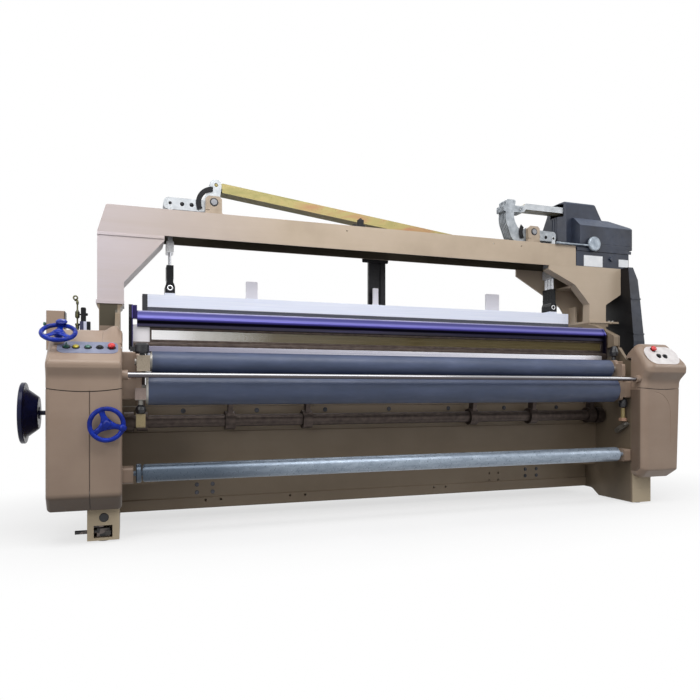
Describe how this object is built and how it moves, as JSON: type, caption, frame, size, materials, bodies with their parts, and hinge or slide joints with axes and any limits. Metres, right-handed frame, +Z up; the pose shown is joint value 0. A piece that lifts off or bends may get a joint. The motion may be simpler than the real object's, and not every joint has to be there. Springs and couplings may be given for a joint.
{
  "type": "power loom",
  "caption": "Wide shuttleless power loom with two side frames, top gantry, dobby, heald shafts, sley and reed, front rollers, side covers with controls and handwheels.",
  "frame": {"origin": "middle of the base on the floor", "axes": "+X to the right seen from the weaver at the front, +Y to the back, +Z up"},
  "size_m": [4.577, 1.7089, 2.424],
  "materials": {
    "beige_paint": "satin",
    "wheel_blue": "gloss",
    "wheel_navy": "gloss",
    "roller_rubber": "matt",
    "chrome": "polished",
    "zinc_steel": "galvanised",
    "purple_anodised": "anodised",
    "white_profile": "powder coated",
    "mirror_steel": "mirror polished",
    "slate_plastic": "fine texture",
    "black_paint": "satin",
    "white_lever": "satin",
    "passivated": "zinc passivated",
    "black_plastic": "matt",
    "red_plastic": "gloss",
    "green_plastic": "gloss",
    "yellow_plastic": "gloss",
    "panel_blue": "satin film",
    "panel_white": "satin film",
    "steel": "machined",
    "beam_alloy": "machined"
  },
  "bodies": {
    "frame": {"left_side_frame": "beige_paint", "right_side_frame": "beige_paint", "cross_girders": "beige_paint", "middle_girder": "beige_paint", "top_beam": "beige_paint", "left_post": "beige_paint", "right_bracket": "beige_paint", "left_hood": "beige_paint", "left_cover": "beige_paint", "right_hood": "beige_paint", "right_cover": "beige_paint", "left_panel": "panel_blue", "right_panel": "panel_white", "front_rail": "chrome", "roller_brackets": "beige_paint", "pressure_adjusters": "black_plastic", "crank_bearings": "beige_paint", "guide_post": "black_paint", "dobby_case": "slate_plastic", "dobby_cover": "slate_plastic", "drive_cover": "slate_plastic", "levelling_feet": "steel", "foot_valve": "black_paint", "junction_box": "beige_paint", "weft_guides": "steel", "fasteners": "steel"},
    "door": {"left_door": "beige_paint"},
    "selector": {"selector_switch": "black_plastic"},
    "yellow_key": {"yellow_button": "yellow_plastic"},
    "green_key": {"green_button": "green_plastic"},
    "black_key": {"black_button": "black_plastic"},
    "stop_key": {"stop_button": "red_plastic"},
    "right_stop_key": {"right_stop_button": "red_plastic"},
    "right_start_key": {"right_start_button": "black_plastic"},
    "right_jog_key": {"right_jog_button": "black_plastic"},
    "main_wheel": {"main_handwheel": "wheel_navy"},
    "top_wheel": {"top_handwheel": "wheel_blue"},
    "front_wheel": {"front_handwheel": "wheel_blue"},
    "press": {"press_roller": "roller_rubber"},
    "takeup": {"takeup_roller": "roller_rubber"},
    "cloth": {"cloth_roller": "zinc_steel"},
    "back_rest": {"back_rest_roller": "zinc_steel"},
    "warp": {"warp_beam": "beam_alloy"},
    "sley": {"sley_beam": "steel", "reed": "mirror_steel", "reed_cap": "purple_anodised"},
    "release": {"release_lever": "wheel_navy"},
    "levelling": {"levelling_lever": "zinc_steel"},
    "shed_a": {"heald_frames_a": "white_profile", "tie_rods_a": "chrome"},
    "shed_b": {"heald_frames_b": "white_profile", "tie_rods_b": "chrome"},
    "left_cranks_set_a": {"left_cranks_a": "white_lever"},
    "left_cranks_set_b": {"left_cranks_b": "white_lever"},
    "right_cranks_set_a": {"right_cranks_a": "white_lever"},
    "right_cranks_set_b": {"right_cranks_b": "white_lever"},
    "links_a": {"link_bars_a": "passivated"},
    "links_b": {"link_bars_b": "passivated"},
    "rods_a": {"dobby_rods_a": "zinc_steel"},
    "rods_b": {"dobby_rods_b": "zinc_steel"}
  },
  "joints": [
    {"name": "door_hinge", "type": "hinge", "parent": "frame", "child": "door", "pos_m": [-1.9195, -0.773, 0.5], "axis": [0, 0, 1], "range_deg": [0, 65]},
    {"name": "selector_turn", "type": "hinge", "parent": "frame", "child": "selector", "pos_m": [-2.0425, -0.673, 1.09183], "axis": [0, -0.5446, 0.8387], "range_deg": [-45, 45]},
    {"name": "yellow_press", "type": "slide", "parent": "frame", "child": "yellow_key", "axis": [0, -0.5446, 0.8387], "range_m": [-0.004, 0], "stiffness_N_per_m": 400},
    {"name": "green_press", "type": "slide", "parent": "frame", "child": "green_key", "axis": [0, -0.5446, 0.8387], "range_m": [-0.004, 0], "stiffness_N_per_m": 400},
    {"name": "black_press", "type": "slide", "parent": "frame", "child": "black_key", "axis": [0, -0.5446, 0.8387], "range_m": [-0.004, 0], "stiffness_N_per_m": 400},
    {"name": "stop_press", "type": "slide", "parent": "frame", "child": "stop_key", "axis": [0, -0.5446, 0.8387], "range_m": [-0.006, 0], "stiffness_N_per_m": 500},
    {"name": "right_stop_press", "type": "slide", "parent": "frame", "child": "right_stop_key", "axis": [0, -0.7889, 0.6145], "range_m": [-0.006, 0], "stiffness_N_per_m": 500},
    {"name": "right_start_press", "type": "slide", "parent": "frame", "child": "right_start_key", "axis": [0, -0.7889, 0.6145], "range_m": [-0.004, 0], "stiffness_N_per_m": 400},
    {"name": "right_jog_press", "type": "slide", "parent": "frame", "child": "right_jog_key", "axis": [0, -0.7889, 0.6145], "range_m": [-0.004, 0], "stiffness_N_per_m": 400},
    {"name": "main_wheel_turn", "type": "hinge", "parent": "frame", "child": "main_wheel", "pos_m": [-2.1485, -0.498, 0.726], "axis": [1, 0, 0], "continuous": true},
    {"name": "top_wheel_turn", "type": "hinge", "parent": "frame", "child": "top_wheel", "pos_m": [-2.0835, -0.63, 1.11975], "axis": [0, -0.5446, 0.8387], "continuous": true},
    {"name": "front_wheel_turn", "type": "hinge", "parent": "frame", "child": "front_wheel", "pos_m": [-1.8325, -0.813, 0.669], "axis": [0, 1, 0], "continuous": true},
    {"name": "press_turn", "type": "hinge", "parent": "frame", "child": "press", "pos_m": [0.0515, -0.588, 1.0185], "axis": [1, 0, 0], "continuous": true},
    {"name": "takeup_turn", "type": "hinge", "parent": "frame", "child": "takeup", "pos_m": [0.0515, -0.598, 0.861], "axis": [1, 0, 0], "continuous": true},
    {"name": "cloth_turn", "type": "hinge", "parent": "frame", "child": "cloth", "pos_m": [0.0515, -0.618, 0.376], "axis": [1, 0, 0], "continuous": true},
    {"name": "back_rest_turn", "type": "hinge", "parent": "frame", "child": "back_rest", "pos_m": [0.0515, 0.682, 1.02], "axis": [1, 0, 0], "continuous": true},
    {"name": "warp_turn", "type": "hinge", "parent": "frame", "child": "warp", "pos_m": [0.0515, 0.482, 0.5], "axis": [1, 0, 0], "continuous": true},
    {"name": "sley_swing", "type": "hinge", "parent": "frame", "child": "sley", "pos_m": [0.0515, -0.318, 0.66], "axis": [1, 0, 0], "range_deg": [-8, 4]},
    {"name": "release_turn", "type": "hinge", "parent": "frame", "child": "release", "pos_m": [1.8415, -0.608, 0.6], "axis": [1, 0, 0], "range_deg": [-40, 0]},
    {"name": "levelling_turn", "type": "hinge", "parent": "frame", "child": "levelling", "pos_m": [1.8845, -0.208, 2.054], "axis": [0, 1, 0], "range_deg": [0, 60]},
    {"name": "shed_a_lift", "type": "slide", "parent": "frame", "child": "shed_a", "axis": [0, 0, 1], "range_m": [-0.04, 0.04]},
    {"name": "left_cranks_a_turn", "type": "hinge", "parent": "frame", "child": "left_cranks_set_a", "pos_m": [-1.1725, -0.018, 2.126], "axis": [0, 1, 0], "range_deg": [-8.2, 8.2]},
    {"name": "right_cranks_a_turn", "type": "hinge", "parent": "frame", "child": "right_cranks_set_a", "pos_m": [1.3725, -0.018, 2.134], "axis": [0, 1, 0], "range_deg": [-10.7, 10.7]},
    {"name": "links_a_slide", "type": "slide", "parent": "frame", "child": "links_a", "axis": [1, 0, 0], "range_m": [-0.0187, 0.0187]},
    {"name": "rods_a_slide", "type": "slide", "parent": "frame", "child": "rods_a", "axis": [0.8817, 0, 0.4718], "range_m": [-0.0391, 0.0391]},
    {"name": "shed_b_lift", "type": "slide", "parent": "frame", "child": "shed_b", "axis": [0, 0, 1], "range_m": [-0.04, 0.04]},
    {"name": "left_cranks_b_turn", "type": "hinge", "parent": "frame", "child": "left_cranks_set_b", "pos_m": [-1.1725, -0.018, 2.126], "axis": [0, 1, 0], "range_deg": [-8.2, 8.2]},
    {"name": "right_cranks_b_turn", "type": "hinge", "parent": "frame", "child": "right_cranks_set_b", "pos_m": [1.3725, -0.018, 2.134], "axis": [0, 1, 0], "range_deg": [-10.7, 10.7]},
    {"name": "links_b_slide", "type": "slide", "parent": "frame", "child": "links_b", "axis": [1, 0, 0], "range_m": [-0.0187, 0.0187]},
    {"name": "rods_b_slide", "type": "slide", "parent": "frame", "child": "rods_b", "axis": [0.8817, 0, 0.4718], "range_m": [-0.0391, 0.0391]}
  ],
  "couplings": [
    {"joint": "press_turn", "follows": "takeup_turn", "ratio": -1.4531},
    {"joint": "front_wheel_turn", "follows": "takeup_turn", "ratio": 4},
    {"joint": "left_cranks_a_turn", "follows": "shed_a_lift", "rad_per_m": 3.5211},
    {"joint": "right_cranks_a_turn", "follows": "shed_a_lift", "rad_per_m": -4.6296},
    {"joint": "links_a_slide", "follows": "shed_a_lift", "ratio": 0.464},
    {"joint": "rods_a_slide", "follows": "shed_a_lift", "ratio": -0.97139},
    {"joint": "left_cranks_b_turn", "follows": "shed_b_lift", "rad_per_m": 3.5211},
    {"joint": "right_cranks_b_turn", "follows": "shed_b_lift", "rad_per_m": -4.6296},
    {"joint": "links_b_slide", "follows": "shed_b_lift", "ratio": 0.464},
    {"joint": "rods_b_slide", "follows": "shed_b_lift", "ratio": -0.97139}
  ]
}
